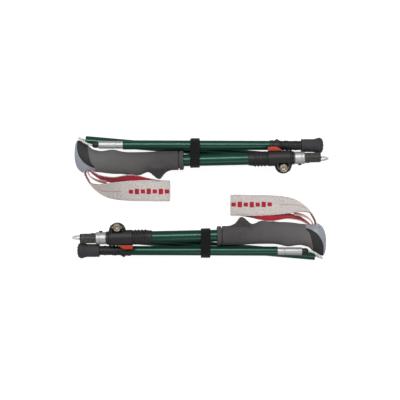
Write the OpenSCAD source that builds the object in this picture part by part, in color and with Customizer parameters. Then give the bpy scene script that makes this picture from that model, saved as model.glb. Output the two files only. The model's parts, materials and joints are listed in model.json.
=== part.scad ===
// A pair of three-section folding trekking poles, each lying folded in its own
// hook-and-loop tie. Pole 2 is pole 1 turned half a turn about +Z.
// +X runs along the folded poles, +Z is up, and the origin is on the table
// below the middle of the pair.

/* [Upper shaft] */
// Outer diameter of the upper tube
upper_d = 18; // [17:0.5:19]
// Wall thickness of the upper tube
upper_wall = 0.95; // [0.9:0.05:1]
// Outer diameter of the sliding extension tube
extension_d = 16; // [15.8:0.1:16]
// Outer diameter of the tension tube that ends in the joint socket
tension_d = 14.4; // [14:0.1:14.4]

/* [Lower sections] */
// Outer diameter of the middle and lower tubes
section_d = 14; // [13.6:0.1:14]
// Outer diameter of the joint ferrules
ferrule_d = 11.5; // [11:0.1:11.5]
// Length of ferrule that shows past its tube
ferrule_l = 36; // [30:1:38]
// Length of the plastic nose on a ferrule
nose_l = 10; // [8:1:12]
// Diameter of the coated cord
cord_d = 3; // [2.4:0.1:3]

/* [Grip] */
// Width of the foam grip, across the hand
grip_w = 27; // [24:1:28]
// Width of the wrist strap's padded band
strap_w = 32; // [28:1:32]
// Thickness of the wrist strap's padded band
strap_t = 2.6; // [2:0.1:2.8]

/* [Foot] */
// Outer diameter of the rubber foot's flared sole
sole_d = 24; // [22:1:24]
// Diameter of the rubber foot's barrel
barrel_d = 19.6; // [18:0.2:20]

/* [Hidden] */
PARTS = [
    "upper_tube", "head_core", "head_cap", "strap_pin", "grip_foam",
    "grip_ring", "wrist_strap", "bundle_tie", "clamp_body", "clamp_lever",
    "lever_pin", "clamp_screw", "extension_tube", "cord_anchor",
    "joint_collar", "release_button", "button_spring", "tension_tube",
    "upper_cord_loop", "cord_middle", "middle_tube", "middle_plug",
    "lower_cord_loop", "cord_end", "lower_tube", "lower_plug", "tip_shaft",
    "carbide_tip", "rubber_foot"
];
$fn = 48;

// Where each section's axis crosses X = 0, its yaw about Z and its pitch.
upper_at = [0, 57, 21.6];
upper_yaw = 1.15;
upper_pitch = 2.4;
middle_at = [0, 71.8, section_d / 2];
middle_yaw = -5;
lower_at = [0, 79.2, 21.4];
lower_yaw = -0.2;
lower_pitch = -0.3;

// Stations along each section's own axis, from where it crosses X = 0.
upper_top = -172;
upper_end = 134;
clamp_start = 72;
clamp_end = 140.5;
screw_x = 123.8;
screw_y = -15.5;
pin_z = 10;
collar_start = 141;
collar_end = 156;
extension_top = -122;
socket_mouth = 179.5;
middle_nose = 167.5;
middle_open = -174;
lower_nose = -161.7;
shaft_start = 104;
shaft_end = 158;
foot_start = 151;
foot_end = 184;

// Clearances: between glued parts, between sliding tubes, and round a pin.
fit = 0.02;
slide_fit = 0.05;
extension_bore = tension_d / 2 + slide_fit;
socket_bore = ferrule_d / 2 + slide_fit;

// ---- helpers -------------------------------------------------------------

module pole(n) { rotate([0, 0, 180 * (n - 1)]) children(); }
module upper_frame() { translate(upper_at) rotate([0, -upper_pitch, upper_yaw]) children(); }
module middle_frame() { translate(middle_at) rotate([0, 0, middle_yaw]) children(); }
module lower_frame() { translate(lower_at) rotate([0, -lower_pitch, lower_yaw]) children(); }

// A rod or tube along +X, from station x0 to x1.
module rod(x0, x1, r) { translate([x0, 0, 0]) rotate([0, 90, 0]) cylinder(h = x1 - x0, r = r); }
module cone(x0, x1, r0, r1) {
    translate([x0, 0, 0]) rotate([0, 90, 0]) cylinder(h = x1 - x0, r1 = r0, r2 = r1);
}
module tube(x0, x1, r_out, r_in) {
    difference() {
        rod(x0, x1, r_out);
        rod(x0 - 1, x1 + 1, r_in);
    }
}

function unit(v) = v / norm(v);
// Catmull-Rom point between p1 and p2 at t.
function spline(p0, p1, p2, p3, t) =
    0.5 * (2 * p1 + (p2 - p0) * t + (2 * p0 - 5 * p1 + 4 * p2 - p3) * t * t
        + (3 * p1 - p0 - 3 * p2 + p3) * t * t * t);
// A smooth list through the points of a route, with steps points on each span.
function smooth(p, steps) = concat(
    [for (i = [0 : len(p) - 2]) for (k = [0 : steps - 1])
        spline(p[max(i - 1, 0)], p[i], p[i + 1], p[min(i + 2, len(p) - 1)], k / steps)],
    [p[len(p) - 1]]);
function tangent(p, i) = unit(p[min(i + 1, len(p) - 1)] - p[max(i - 1, 0)]);

// A closed solid over rings of equal count, each a list of points.
module skin(rings) {
    m = len(rings[0]);
    last = len(rings) - 1;
    polyhedron(
        points = [for (ring = rings) each ring],
        faces = concat(
            [[for (j = [m - 1 : -1 : 0]) j]],
            [for (i = [0 : last - 1]) for (j = [0 : m - 1]) each [
                [i * m + j, (i + 1) * m + (j + 1) % m, (i + 1) * m + j],
                [i * m + j, i * m + (j + 1) % m, (i + 1) * m + (j + 1) % m]]],
            [[for (j = [0 : m - 1]) last * m + j]]));
}

// A round cord of radius r along a list of points.
module cord(p, r, sides = 10) {
    skin([for (i = [0 : len(p) - 1])
        let (t = tangent(p, i), u = unit(cross(t, [0.1, 1, 0.05])), v = cross(t, u))
        [for (j = [0 : sides - 1]) p[i] + r * (cos(-360 * j / sides) * u + sin(-360 * j / sides) * v)]]);
}

// A flat band of thickness t. Each row is [x, y, z, width, tilt], and tilt is
// the angle of the band's width from +Y towards +Z.
module band(rows, t) {
    skin([for (i = [0 : len(rows) - 1])
        let (r = rows[i], c = [r[0], r[1], r[2]],
            a = rows[max(i - 1, 0)], b = rows[min(i + 1, len(rows) - 1)],
            along = unit([b[0] - a[0], b[1] - a[1], b[2] - a[2]]),
            w = [0, cos(r[4]), sin(r[4])],
            n = unit(cross(along, w)))
        [c + w * r[3] / 2 + n * t / 2, c + w * r[3] / 2 - n * t / 2,
            c - w * r[3] / 2 - n * t / 2, c - w * r[3] / 2 + n * t / 2]]);
}

// ---- grip ----------------------------------------------------------------

// Grip profile rows, head first: [x, rear y, front y, half width].
grip_rows = [
    [-189, 16, 4, 3.4], [-188, 26, -1.5, 7.4], [-186.5, 30.8, -6, 9.6], [-184.5, 33.4, -9.8, 11],
    [-182, 33.4, -12.4, 11.8], [-179, 32, -14.6, 12.4], [-175.5, 29.6, -15.6, 12.8],
    [-171.5, 27, -15, 13], [-167.5, 24.6, -14, 13], [-163, 20.4, -14, 12.8], [-156, 18, -15, 13],
    [-150, 16.8, -15.6, 13.2], [-143, 17.2, -16.8, 13.4], [-138, 18, -17.4, 13.5],
    [-133, 18.4, -18, 13.5], [-127, 17.8, -18.4, 13.5], [-120, 15.8, -18.6, 13.5],
    [-112, 14.4, -19.6, 13.5], [-104, 14, -20.8, 13.5], [-91, 13.8, -20.8, 13.5],
    [-84, 13.8, -18, 13.3], [-79, 13.9, -16.8, 13.2], [-75, 14, -18.4, 13.2],
    [-68, 14.2, -24.6, 12.6], [-64, 14.3, -27.2, 11.4], [-60, 14.3, -26.6, 11.4],
    [-57, 14.4, -23, 12.4], [-52, 14.4, -17.8, 13], [-45, 14.4, -14.8, 13.4],
    [-38, 14.4, -14.4, 13.6], [-33, 14.4, -14.4, 13.6]
];

// A ring across the grip: an egg whose widest place is at y = 0.
function grip_ring_points(row, sides = 28) = [
    for (j = [0 : sides - 1])
        let (a = -360 * j / sides, c = cos(a), middle = (row[1] + row[2]) / 2, half = (row[1] - row[2]) / 2)
        [row[0], middle + half * c, row[3] * sin(a)]
];

module grip_solid(rows) { skin([for (row = rows) grip_ring_points(row)]); }

module upper_tube() {
    color("#1d5a48") upper_frame()
        tube(upper_top, upper_end, upper_d / 2, upper_d / 2 - upper_wall);
}

// The head meets the foam along a slanted line, [x, y] points.
seam = [[-158, -40], [-158, -9], [-163, -1], [-168.4, 21], [-171, 40]];
module head_side(grow = 0) {
    translate([grow, 0, -30]) linear_extrude(60)
        polygon(concat([[-230, 40], [-230, -40]], seam));
}

// The core is the rear of the head, and the cap wraps over its top and front.
// They part along a curved face, a big cylinder across the head.
module core_region(grow = 0) {
    translate([-150, 24, 0]) cylinder(h = 60, r = 34 + grow, center = true, $fn = 96);
    translate([-184 - grow, 24, -30]) cube([40, 40, 60]);
}

module head_core() {
    color("#3a3a3e") upper_frame() difference() {
        intersection() {
            grip_solid(grip_rows);
            core_region();
            head_side();
        }
        rod(upper_top - fit, -100, upper_d / 2 + fit);
        strap_slot();
    }
}

module head_cap() {
    color("#9a9ca8") upper_frame() difference() {
        intersection() {
            grip_solid(grip_rows);
            head_side();
        }
        core_region(fit);
        rod(upper_top - fit, -100, upper_d / 2 + fit);
        strap_slot();
        translate([-178, -9, 0]) cylinder(h = 18, r = 1.5 + fit, center = true);
    }
}

// The slot in the front of the head that the strap's webbing goes into.
module strap_slot() { translate([-182.5, -22, -7.8]) cube([21, 17, 15.6]); }

module strap_pin() {
    color("silver") upper_frame() translate([-178, -9, 0]) cylinder(h = 17, r = 1.5, center = true);
}

module grip_foam() {
    color("#6a6869") upper_frame() difference() {
        grip_solid(grip_rows);
        head_side(fit);
        rod(-175, -20, upper_d / 2 + fit);
    }
}

module grip_ring() {
    color("#6a6869") upper_frame() difference() {
        union() {
            cone(-31.5, -30.3, 13.4, 14.5);
            rod(-30.3, -26.2, 14.5);
            cone(-26.2, -25, 14.5, 13.4);
        }
        rod(-40, -20, upper_d / 2 + fit);
    }
}

// Wrist strap rows, [x, y, z, width, tilt]: out of the head, along the outer
// side, round the far fold and back along the grip into the head.
strap_rows = [
    [-174, 42, 14.5, 13, 90], [-173, 35, 14.5, 14, 90], [-169.5, 28, 14.5, 16, 90],
    [-165.5, 21.5, 14.3, 19, 87], [-160, 17.4, 14, 22, 80], [-151, 13.6, 13.4, 27, 66],
    [-140, 11.6, 13.4, 31, 50], [-128, 10.8, 12, strap_w, 37], [-114, 10.8, 11.6, strap_w, 26],
    [-98, 11, 11.8, strap_w, 16], [-80, 11.2, 12.2, strap_w, 6], [-62, 10.8, 12.4, strap_w, 0],
    [-51, 10.8, 11.2, strap_w, 0], [-46.6, 10.8, 7.2, strap_w, 0], [-51, 11, 3, strap_w, 0],
    [-62, 11.4, 2.2, strap_w, 0], [-76, 14, 5.2, strap_w, 10], [-90, 18.6, 9.2, strap_w, 27],
    [-104, 23, 12.8, strap_w, 42], [-117, 25, 14, 29, 58], [-130, 26.6, 14.4, 22, 74],
    [-143, 28.8, 14.5, 18, 87], [-153, 32.2, 14.5, 15, 90], [-161, 37.4, 14.5, 13, 90],
    [-166, 41.5, 14.5, 13, 90]
];
// The strap's loose tail, beside the first strand.
tail_rows = [
    [-170.2, 41, 14.5, 12.5, 90], [-166.5, 33.6, 14.5, 14, 90], [-159, 28, 14.5, 16, 88],
    [-150, 25, 14.4, 16, 84], [-141, 23.4, 14, 16, 78]
];

module wrist_strap() {
    color("#cfccc8") {
        band(strap_rows, strap_t);
        band(tail_rows, 1.6);
    }
}

// ---- tie round the bundle --------------------------------------------------

tie_x = -8;
tie_half = 7.2;
module tie_outline(grow) {
    hull() {
        upper_frame() rod(tie_x - 30, tie_x + 30, upper_d / 2 + grow, $fn = 32);
        middle_frame() rod(tie_x - 30, tie_x + 30, section_d / 2 + grow, $fn = 32);
        lower_frame() rod(tie_x - 30, tie_x + 30, section_d / 2 + grow, $fn = 32);
    }
}
module bundle_tie() {
    color("#1a171d") intersection() {
        difference() {
            tie_outline(3.6);
            tie_outline(0.7);
        }
        translate([tie_x - tie_half, 0, 0]) cube([2 * tie_half, 120, 60]);
    }
}

// ---- clamp -----------------------------------------------------------------

clamp_r = 11.5;
ear_r = 12.4;
ear_y = -10.4;
ear_z = 7;
module clamp_body() {
    color("#2b2a2f") upper_frame() difference() {
        union() {
            cone(clamp_start, clamp_start + 6, 9.8, 10.6);
            rod(clamp_start + 6, 101, 10.6);
            rod(101, clamp_end - 3.6, clamp_r);
            rod(clamp_end - 3.6, clamp_end, 10);
            // grip ribs under the sleeve
            for (x = [80 : 5 : 95]) rod(x, x + 2.4, 10.9);
            translate([screw_x, ear_y, 0]) cylinder(h = 2 * ear_z, r = ear_r, center = true);
        }
        rod(clamp_start - 1, upper_end + fit, upper_d / 2 + fit);
        rod(upper_end, clamp_end + 1, extension_d / 2 + slide_fit);
        // the slit that lets the ears close on the tube
        translate([103, -40, -0.9]) cube([50, 40, 1.8]);
        // screw hole, and the seat of its round nut in the lower ear
        translate([screw_x, screw_y, 0]) cylinder(h = 40, r = 2.15, center = true);
        translate([screw_x, screw_y, -ear_z - 1]) cylinder(h = 4.2, r = 4);
        // a flat for the lever's cheeks
        translate([screw_x - 10, -30, 5.2]) cube([20, 21, 10]);
    }
}

// The lever's arm wraps over the clamp, from the cross pin to a finger tab.
// Its tab stands above the lower section, so that it can lift.
lever_start = 102;
lever_end = 134;
lever_in = 12;
lever_out = 14.2;
module clamp_lever() {
    upper_frame() {
        color("#2b2a2f") difference() {
            union() {
                intersection() {
                    tube(lever_start, lever_end, lever_out, lever_in);
                    translate([lever_start, -13, 7.6]) cube([lever_end - lever_start, 24.4, 20]);
                }
                // cheeks on each side of the screw head, on the cross pin
                for (side = [-1, 1])
                    translate([screw_x + side * 8.5 - 1.25, 0, 0]) cheek();
            }
            translate([screw_x, screw_y, 0]) cylinder(h = 40, r = 6.9);
            translate([screw_x - 7.2, screw_y, pin_z]) rotate([0, 90, 0]) cylinder(h = 14.4, r = 7.7);
        }
        color("#e2501f") lever_tab();
    }
}
module cheek() {
    difference() {
        hull() {
            translate([0, screw_y, pin_z]) rotate([0, 90, 0]) cylinder(h = 2.5, r = 3.9, $fn = 32);
            translate([0, -11.5, 8]) cube([2.5, 3, 5]);
        }
        translate([-1, screw_y, pin_z]) rotate([0, 90, 0]) cylinder(h = 5, r = 2.05);
    }
}
module lever_tab() {
    translate([0, 0, 8.3]) linear_extrude(3)
        polygon([[102, 11.4], [102, 16.6], [103.4, 18], [113.6, 18], [121.6, 12.6], [122, 11.4]]);
}

module lever_pin() {
    color("silver") upper_frame() difference() {
        translate([screw_x - 9.9, screw_y, pin_z]) rotate([0, 90, 0]) cylinder(h = 19.8, r = 2);
        translate([screw_x, screw_y, 0]) cylinder(h = 40, r = 1.8);
        // a flat for the screw head to bear on
        translate([screw_x - 6.7, screw_y - 3, pin_z + 1]) cube([13.4, 6, 3]);
    }
}

module clamp_screw() {
    color("#b7ad9b") upper_frame() translate([screw_x, screw_y, 0]) difference() {
        union() {
            translate([0, 0, pin_z + 1.1]) cylinder(h = 2.6, r = 6.3);
            translate([0, 0, -ear_z + 0.6]) cylinder(h = pin_z + ear_z + 1, r = 1.75);
            translate([0, 0, -ear_z + 0.2]) cylinder(h = 2.8, r = 3.8);
        }
        for (a = [0, 60, 120]) rotate([0, 0, a]) translate([-3.6, -0.5, pin_z + 2.9]) cube([7.2, 1, 3]);
    }
}

// ---- extension and tension tube ----------------------------------------------

button_x = 148.5;
module extension_tube() {
    color("silver") upper_frame() difference() {
        tube(extension_top, collar_end - 2, extension_d / 2, extension_bore);
        translate([button_x, 0, 0]) rotate([90, 0, 0]) cylinder(h = 12, r = 2.7);
    }
}

module joint_collar() {
    color("#c9c9cc") upper_frame() difference() {
        union() {
            rod(collar_start, collar_end - 1, 9.2);
            cone(collar_end - 1, collar_end, 9.2, 8.4);
        }
        rod(collar_start - 1, collar_end - 2 + fit, extension_d / 2 + fit);
        rod(collar_start - 1, collar_end + 1, extension_bore);
        translate([button_x, 0, 0]) rotate([90, 0, 0]) cylinder(h = 12, r = 2.7);
    }
}

module release_button() {
    color("#2b2a2f") upper_frame() translate([button_x, 0, 0]) rotate([90, 0, 0]) {
        translate([0, 0, 8.4]) cylinder(h = 2.6, r = 2.6);
    }
}

module button_spring() {
    color("silver") upper_frame() translate([button_x, 0, 0]) rotate([90, 0, 0])
        translate([0, 0, 7.3]) difference() {
            cylinder(h = 1, r = 2.6);
            translate([0, 0, -1]) cylinder(h = 3, r = 1.7);
        }
}

module tension_tube() {
    color("#2c2c2a") upper_frame() difference() {
        rod(-20, socket_mouth, tension_d / 2);
        rod(-21, 100, 5.9);
        rod(99, socket_mouth + 1, socket_bore);
        // keyway that the button's nose rides in
        translate([0, -8, -1.9]) cube([collar_end - 3, 2.2, 3.8]);
    }
}

// The cord's upper run, crimped above the bush that closes the extension tube.
module cord_anchor() {
    upper_frame() {
        color("#2b2a2f") difference() {
            union() {
                rod(extension_top - 6, extension_top, upper_d / 2 - upper_wall - slide_fit);
                rod(extension_top, extension_top + 12, extension_bore - fit);
            }
            rod(extension_top - 10, extension_top + 20, cord_d / 2 + fit);
        }
        color("ivory") rod(extension_top - 6.5, socket_mouth - 0.5, cord_d / 2);
        color("silver") tube(extension_top - 12, extension_top - 6.5, 3, cord_d / 2 + fit);
    }
}

// ---- cord ----------------------------------------------------------------------

// The bend of cord from the joint socket down to the middle section.
upper_loop_points = [
    [179.1, 60.6, 29.1], [183, 60.7, 29.3], [188.2, 60.3, 27], [190.9, 59.5, 22.2],
    [191, 58.7, 16.4], [188.8, 57.9, 11], [184, 57.3, 7.8], [177, 56.9, 7], [168.6, 57, 7]
];
// The cord inside the middle section's open end, and its bend up to the lower
// section, which passes over the corner of the head.
lower_loop_points = [
    [-120.6, 82.3, 7], [-145, 84.5, 7], [-171, 87, 7], [-176, 87.9, 7.2],
    [-180.4, 89.4, 8.6], [-182.8, 90.6, 12.4], [-182.2, 89.8, 17.4], [-179, 87, 21.6], [-174.2, 83.6, 23.2], [-169, 80.9, 22.8],
    [-166, 80, 22.4], [-163.1, 79.8, 22.3]
];

module upper_cord_loop() { color("ivory") cord(smooth(upper_loop_points, 3), cord_d / 2); }
module lower_cord_loop() { color("ivory") cord(smooth(lower_loop_points, 3), cord_d / 2); }
module cord_middle() { color("ivory") middle_frame() rod(middle_open + 54, middle_nose, cord_d / 2); }
module cord_end() {
    color("ivory") lower_frame() rod(lower_nose - 1, lower_nose + 62, cord_d / 2);
    color("silver") lower_frame() tube(lower_nose + 56, lower_nose + 62, 3, cord_d / 2 + fit);
}

// ---- middle and lower sections -----------------------------------------------

// A joint plug pointing along -X: plastic nose, then an aluminium ferrule.
plug_l = nose_l + ferrule_l;
module joint_plug() {
    color("#2c2c2e") difference() {
        union() {
            cone(0, 3, 3.6, 4.7);
            rod(3, nose_l, 4.7);
            rod(nose_l, nose_l + 8, 4);
        }
        rod(-1, nose_l + 10, cord_d / 2 + 0.05);
    }
    color("#c9c9cc") tube(nose_l, plug_l + 20, ferrule_d / 2, 4 + fit);
}

module section_tube(x0, x1) { tube(x0, x1, section_d / 2, ferrule_d / 2 + fit); }

module middle_plug() { middle_frame() translate([middle_nose, 0, 0]) mirror([1, 0, 0]) joint_plug(); }
module middle_tube() {
    color("#1d5a48") middle_frame() section_tube(middle_open, middle_nose - plug_l);
}
module lower_plug() { lower_frame() translate([lower_nose, 0, 0]) joint_plug(); }
module lower_tube() {
    color("#1d5a48") lower_frame() section_tube(lower_nose + plug_l, shaft_start + 12);
}

// The plastic shaft over the lower tube's end, with the basket's thread.
module tip_shaft() {
    color("#37383a") lower_frame() difference() {
        union() {
            rod(shaft_start, shaft_start + 14, section_d / 2 + 0.9);
            cone(shaft_start + 14, shaft_start + 17, section_d / 2 + 0.9, 6.8);
            rod(shaft_start + 17, shaft_end, 6.8);
            cone(shaft_end, shaft_end + 8, 6.8, 4.2);
            // the thread is one ramped ridge that a basket turns onto
            for (side = [25, 205]) rotate([side, 0, 0]) translate([shaft_start + 10.5, 6, 0]) ridge();
        }
        rod(shaft_start - 1, shaft_start + 12 + fit, section_d / 2 + fit);
        rod(shaft_end - 8, shaft_end + 20, 2.5 + fit);
    }
}
module ridge() {
    rotate([-90, 0, 0]) cylinder(h = 4.2, r1 = 5.4, r2 = 0.8, $fn = 4);
}

module carbide_tip() {
    color("#8f9092") lower_frame() difference() {
        union() {
            rod(shaft_end - 8, shaft_end + 10, 2.5);
            cone(shaft_end + 10, shaft_end + 13, 2.5, 1.9);
        }
        cone(shaft_end + 11.5, shaft_end + 13.1, 0, 1.3);
    }
}

module rubber_foot() {
    color("#3c3c3e") lower_frame() difference() {
        union() {
            cone(foot_start, foot_start + 1.2, barrel_d / 2 - 1, barrel_d / 2);
            rod(foot_start + 1.2, foot_end - 15, barrel_d / 2);
            cone(foot_end - 15, foot_end - 7, barrel_d / 2, sole_d / 2);
            rod(foot_end - 7, foot_end - 4, sole_d / 2);
            cone(foot_end - 4, foot_end, sole_d / 2, sole_d / 2 - 4);
        }
        rod(foot_start - 1, shaft_end + 0.5, 6.8 + slide_fit);
        cone(shaft_end + 0.4, shaft_end + 8.5, 6.8 + slide_fit, 4.4);
        rod(shaft_end + 8.4, shaft_end + 14, 3);
    }
}

// ---- the pair --------------------------------------------------------------------

for (n = [1, 2]) pole(n) {
    upper_tube();
    head_core();
    head_cap();
    strap_pin();
    grip_foam();
    grip_ring();
    wrist_strap();
    bundle_tie();
    clamp_body();
    clamp_lever();
    lever_pin();
    clamp_screw();
    extension_tube();
    cord_anchor();
    joint_collar();
    release_button();
    button_spring();
    tension_tube();
    upper_cord_loop();
    cord_middle();
    middle_tube();
    middle_plug();
    lower_cord_loop();
    cord_end();
    lower_tube();
    lower_plug();
    tip_shaft();
    carbide_tip();
    rubber_foot();
}
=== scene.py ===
# %% [markdown]
# # A pair of folding trekking poles
# Each pole has three sections on one cord, a foam grip, a wrist strap and a lever clamp.
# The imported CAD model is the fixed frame: it says where every tube, hinge and pin is.
# This lesson gives that frame its finishes, and builds what CAD leaves plain, such as
# foam, webbing and cord. Sizes are written in millimetres and turned into metres.

# %% Load the frame
import json
import math

import bmesh
import bpy
import numpy as np
from mathutils import Matrix, Vector

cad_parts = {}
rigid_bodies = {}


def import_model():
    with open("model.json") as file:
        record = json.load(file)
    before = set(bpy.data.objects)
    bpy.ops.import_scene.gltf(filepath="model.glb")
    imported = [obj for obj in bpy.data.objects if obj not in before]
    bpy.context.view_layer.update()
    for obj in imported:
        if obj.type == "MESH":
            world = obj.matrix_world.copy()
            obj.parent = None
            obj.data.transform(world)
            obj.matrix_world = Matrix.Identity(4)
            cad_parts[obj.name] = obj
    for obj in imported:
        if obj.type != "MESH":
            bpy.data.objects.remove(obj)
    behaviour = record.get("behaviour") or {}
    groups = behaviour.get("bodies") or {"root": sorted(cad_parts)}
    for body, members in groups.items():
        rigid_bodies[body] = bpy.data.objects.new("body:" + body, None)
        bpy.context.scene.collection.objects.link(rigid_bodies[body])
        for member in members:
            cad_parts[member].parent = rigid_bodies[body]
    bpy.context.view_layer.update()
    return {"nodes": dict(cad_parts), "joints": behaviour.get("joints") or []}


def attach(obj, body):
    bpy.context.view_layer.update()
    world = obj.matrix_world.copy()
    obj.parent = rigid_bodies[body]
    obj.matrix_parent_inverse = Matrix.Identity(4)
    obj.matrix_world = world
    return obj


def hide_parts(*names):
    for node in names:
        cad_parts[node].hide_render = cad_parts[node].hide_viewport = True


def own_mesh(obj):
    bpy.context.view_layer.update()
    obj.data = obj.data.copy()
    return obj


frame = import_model()
MM = 0.001
POLES = (1, 2)
half_turn = Matrix.Rotation(math.pi, 4, "Z")


def placed(name, data):
    """A new object in the scene, at the origin."""
    thing = bpy.data.objects.new(name, data)
    bpy.context.scene.collection.objects.link(thing)
    return thing


# %% [markdown]
# The camera looks straight down from 1.4 m, and a long lens keeps the tubes nearly
# parallel. A floor and a soft white sky give the pale ground, and one large lamp from
# the upper left draws a bright line along each tube.

# %% Camera
camera = placed("camera", bpy.data.cameras.new("camera"))
camera.location = (-0.00045, -0.0030, 1.4370)
camera.data.lens = 85
camera.data.sensor_width = 36
camera.data.clip_end = 20
bpy.context.scene.camera = camera

# %% Floor
# It glows a little, so that it stays white, and it is kept out of reflections.
floor_half, floor_z = 4, -0.4 * MM
floor_mesh = bpy.data.meshes.new("floor")
signs = ((-1, -1), (1, -1), (1, 1), (-1, 1))
corners = [(x * floor_half, y * floor_half, floor_z) for x, y in signs]
floor_mesh.from_pydata(corners, [], [(0, 1, 2, 3)])
paint = bpy.data.materials.new("floor")
paint.use_nodes = True
shader = paint.node_tree.nodes["Principled BSDF"]
shader.inputs["Base Color"].default_value = (0.35, 0.35, 0.35, 1)
shader.inputs["Roughness"].default_value = 0.9
shader.inputs["Emission Color"].default_value = (1, 1, 1, 1)
shader.inputs["Emission Strength"].default_value = 0.9
floor_mesh.materials.append(paint)
plane = placed("floor", floor_mesh)
plane.visible_glossy = False

# %% Lamps and sky
def soft_lamp(name, place, size, power):
    """A rectangular lamp that looks at the middle of the floor."""
    lamp = bpy.data.lights.new(name, "AREA")
    lamp.shape = "RECTANGLE"
    lamp.size, lamp.size_y = size
    lamp.energy = power
    holder = placed(name, lamp)
    holder.location = place
    holder.rotation_euler = (-Vector(place)).to_track_quat("-Z", "Y").to_euler()


soft_lamp("key", (-0.15, 0.62, 1.25), (1.9, 0.24), 13)
soft_lamp("fill", (0.5, -0.9, 1.1), (1.6, 0.5), 3)
sky = bpy.data.worlds.new("sky")
sky.use_nodes = True
sky.node_tree.nodes["Background"].inputs["Color"].default_value = (1, 1, 1, 1)
sky.node_tree.nodes["Background"].inputs["Strength"].default_value = 0.27
bpy.context.scene.world = sky
bpy.context.scene.view_settings.view_transform = "Standard"

# %% [markdown]
# ## Shader maths as Python
# A material is a graph of nodes, and long sums of Math nodes are hard to read. `Sock`
# wraps a socket, so that `a * 2 + b` adds the nodes by itself. `Finish` wraps a shader:
# its `node` makes any other node, and its `look` sets colour, roughness and bump.

# %% A socket that does sums
def sum_node(operation, swapped=False):
    """A method that adds a Math node fed by the socket itself and by what it is given."""
    def method(sock, *others):
        node = sock.tree.nodes.new("ShaderNodeMath")
        node.operation = operation
        for slot, value in zip(node.inputs, (*others, sock) if swapped else (sock, *others)):
            sock.join(slot, value)
        return Sock(sock.tree, node.outputs[0])
    return method


class Sock:
    def __init__(self, tree, socket):
        self.tree, self.socket = tree, socket

    def join(self, slot, value):
        """Sets a node's slot to a number, or links it to another socket."""
        if isinstance(value, Sock):
            self.tree.links.new(value.socket, slot)
        else:
            slot.default_value = value

    __add__ = __radd__ = sum_node("ADD")
    __mul__ = __rmul__ = sum_node("MULTIPLY")
    __sub__, __rsub__ = sum_node("SUBTRACT"), sum_node("SUBTRACT", swapped=True)
    __truediv__, __rtruediv__ = sum_node("DIVIDE"), sum_node("DIVIDE", swapped=True)
    sin, cos, floor = sum_node("SINE"), sum_node("COSINE"), sum_node("FLOOR")
    abs, most = sum_node("ABSOLUTE"), sum_node("MAXIMUM")


def add_node(tree, kind, settings=None, out=0, **sockets):
    """Adds a node: first its settings, then what its sockets hold, by name."""
    node = tree.nodes.new(kind)
    for key, value in (settings or {}).items():
        if key == "stops":
            ramp = node.color_ramp
            while len(ramp.elements) < len(value):
                ramp.elements.new(0.5)
            for element, (at, colour) in zip(ramp.elements, value):
                element.position, element.color = at, (*colour, 1)
        else:
            setattr(node, key, value)
    result = Sock(tree, node.outputs[out])
    for key, value in sockets.items():
        result.join(node.inputs[key.replace("_", " ")], value)
    return result


# %% A finish: one Principled shader with its helpers
def srgb(*levels):
    """Screen levels, 0 to 255, as the linear light that a shader works in."""
    return tuple(((c / 255 + 0.055) / 1.055) ** 2.4 if c > 10 else c / 255 / 12.92 for c in levels)


class Finish:
    def __init__(self, name, **plain):
        self.material = bpy.data.materials.new(name)
        self.material.use_nodes = True
        self.tree = self.material.node_tree
        self.shader = self.tree.nodes["Principled BSDF"]
        for key, value in plain.items():
            self.shader.inputs[key.replace("_", " ")].default_value = value

    def node(self, kind, *settings, **rest):
        return add_node(self.tree, "ShaderNode" + kind, *settings, **rest)

    def place(self):
        return self.node("TexCoord", out=3)

    def flat(self):
        return self.node("TexCoord", out=2)

    def stretched(self, vector, scale):
        return self.node("Mapping", Vector=vector, Scale=scale)

    def axes(self, vector):
        x = self.node("SeparateXYZ", Vector=vector)
        return [Sock(self.tree, output) for output in x.socket.node.outputs]

    def noise(self, scale, detail=3, rough=0.5, vector=None):
        vector = vector or self.place()
        return self.node("TexNoise", Vector=vector, Scale=scale, Detail=detail, Roughness=rough)

    def cells(self, scale):
        return self.node("TexVoronoi", Vector=self.place(), Scale=scale)

    def ramp(self, value, stops):
        """A colour ramp. Each stop is a place from 0 to 1 and a colour in screen levels."""
        stops = [(at, srgb(*colour)) for at, colour in stops]
        return self.node("ValToRGB", {"stops": stops}, Fac=value)

    def feed(self, name, value):
        self.tree.links.new(value.socket, self.shader.inputs[name])

    def look(self, tone, stops, rough, height, strength, distance):
        """Colour from a ramp of `tone`, roughness, and a bump `distance` metres deep."""
        self.feed("Base Color", self.ramp(tone, stops))
        self.feed("Roughness", rough)
        self.feed("Normal", self.node("Bump", Height=height, Strength=strength, Distance=distance))
        return self.material


# %% [markdown]
# ## Metals
# The tubes are drawn aluminium, bead-blasted and dyed green: colour sits in a thin clear
# oxide layer, so the metal shines through it. A metallic base with a green tint, a
# little fine grain and faint lengthwise wear gives that. Bare parts keep the grain only.

# %% Anodised green, bare metal and bronze
anodised = Finish("anodised_green", Metallic=0.6, IOR=1.5, Coat_Weight=0.4, Coat_Roughness=0.14)
grain = anodised.noise(2600, 2, 0.6)
handling = anodised.noise(14, 4, 0.65, anodised.stretched(anodised.place(), (0.25, 1, 1)))
greens = (0.3, (23, 74, 60)), (0.72, (29, 83, 68))
anodised.look(handling, greens, 0.31 + 0.02 * handling + 0.02 * grain, grain, 0.05, 0.03 * MM)


def bare_metal(name, dark, light, rough, pull=(1, 1, 1)):
    f = Finish(name, Metallic=0.9, IOR=2.2)
    lines = f.noise(1500, 3, 0.7, f.stretched(f.place(), pull))
    smear = f.noise(25, 2, 0.5)
    stops = (0.25, dark), (0.75, light)
    return f.look(0.7 * lines + 0.3 * smear, stops, rough + 0.16 * lines, lines, 0.2, 0.03 * MM)


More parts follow.
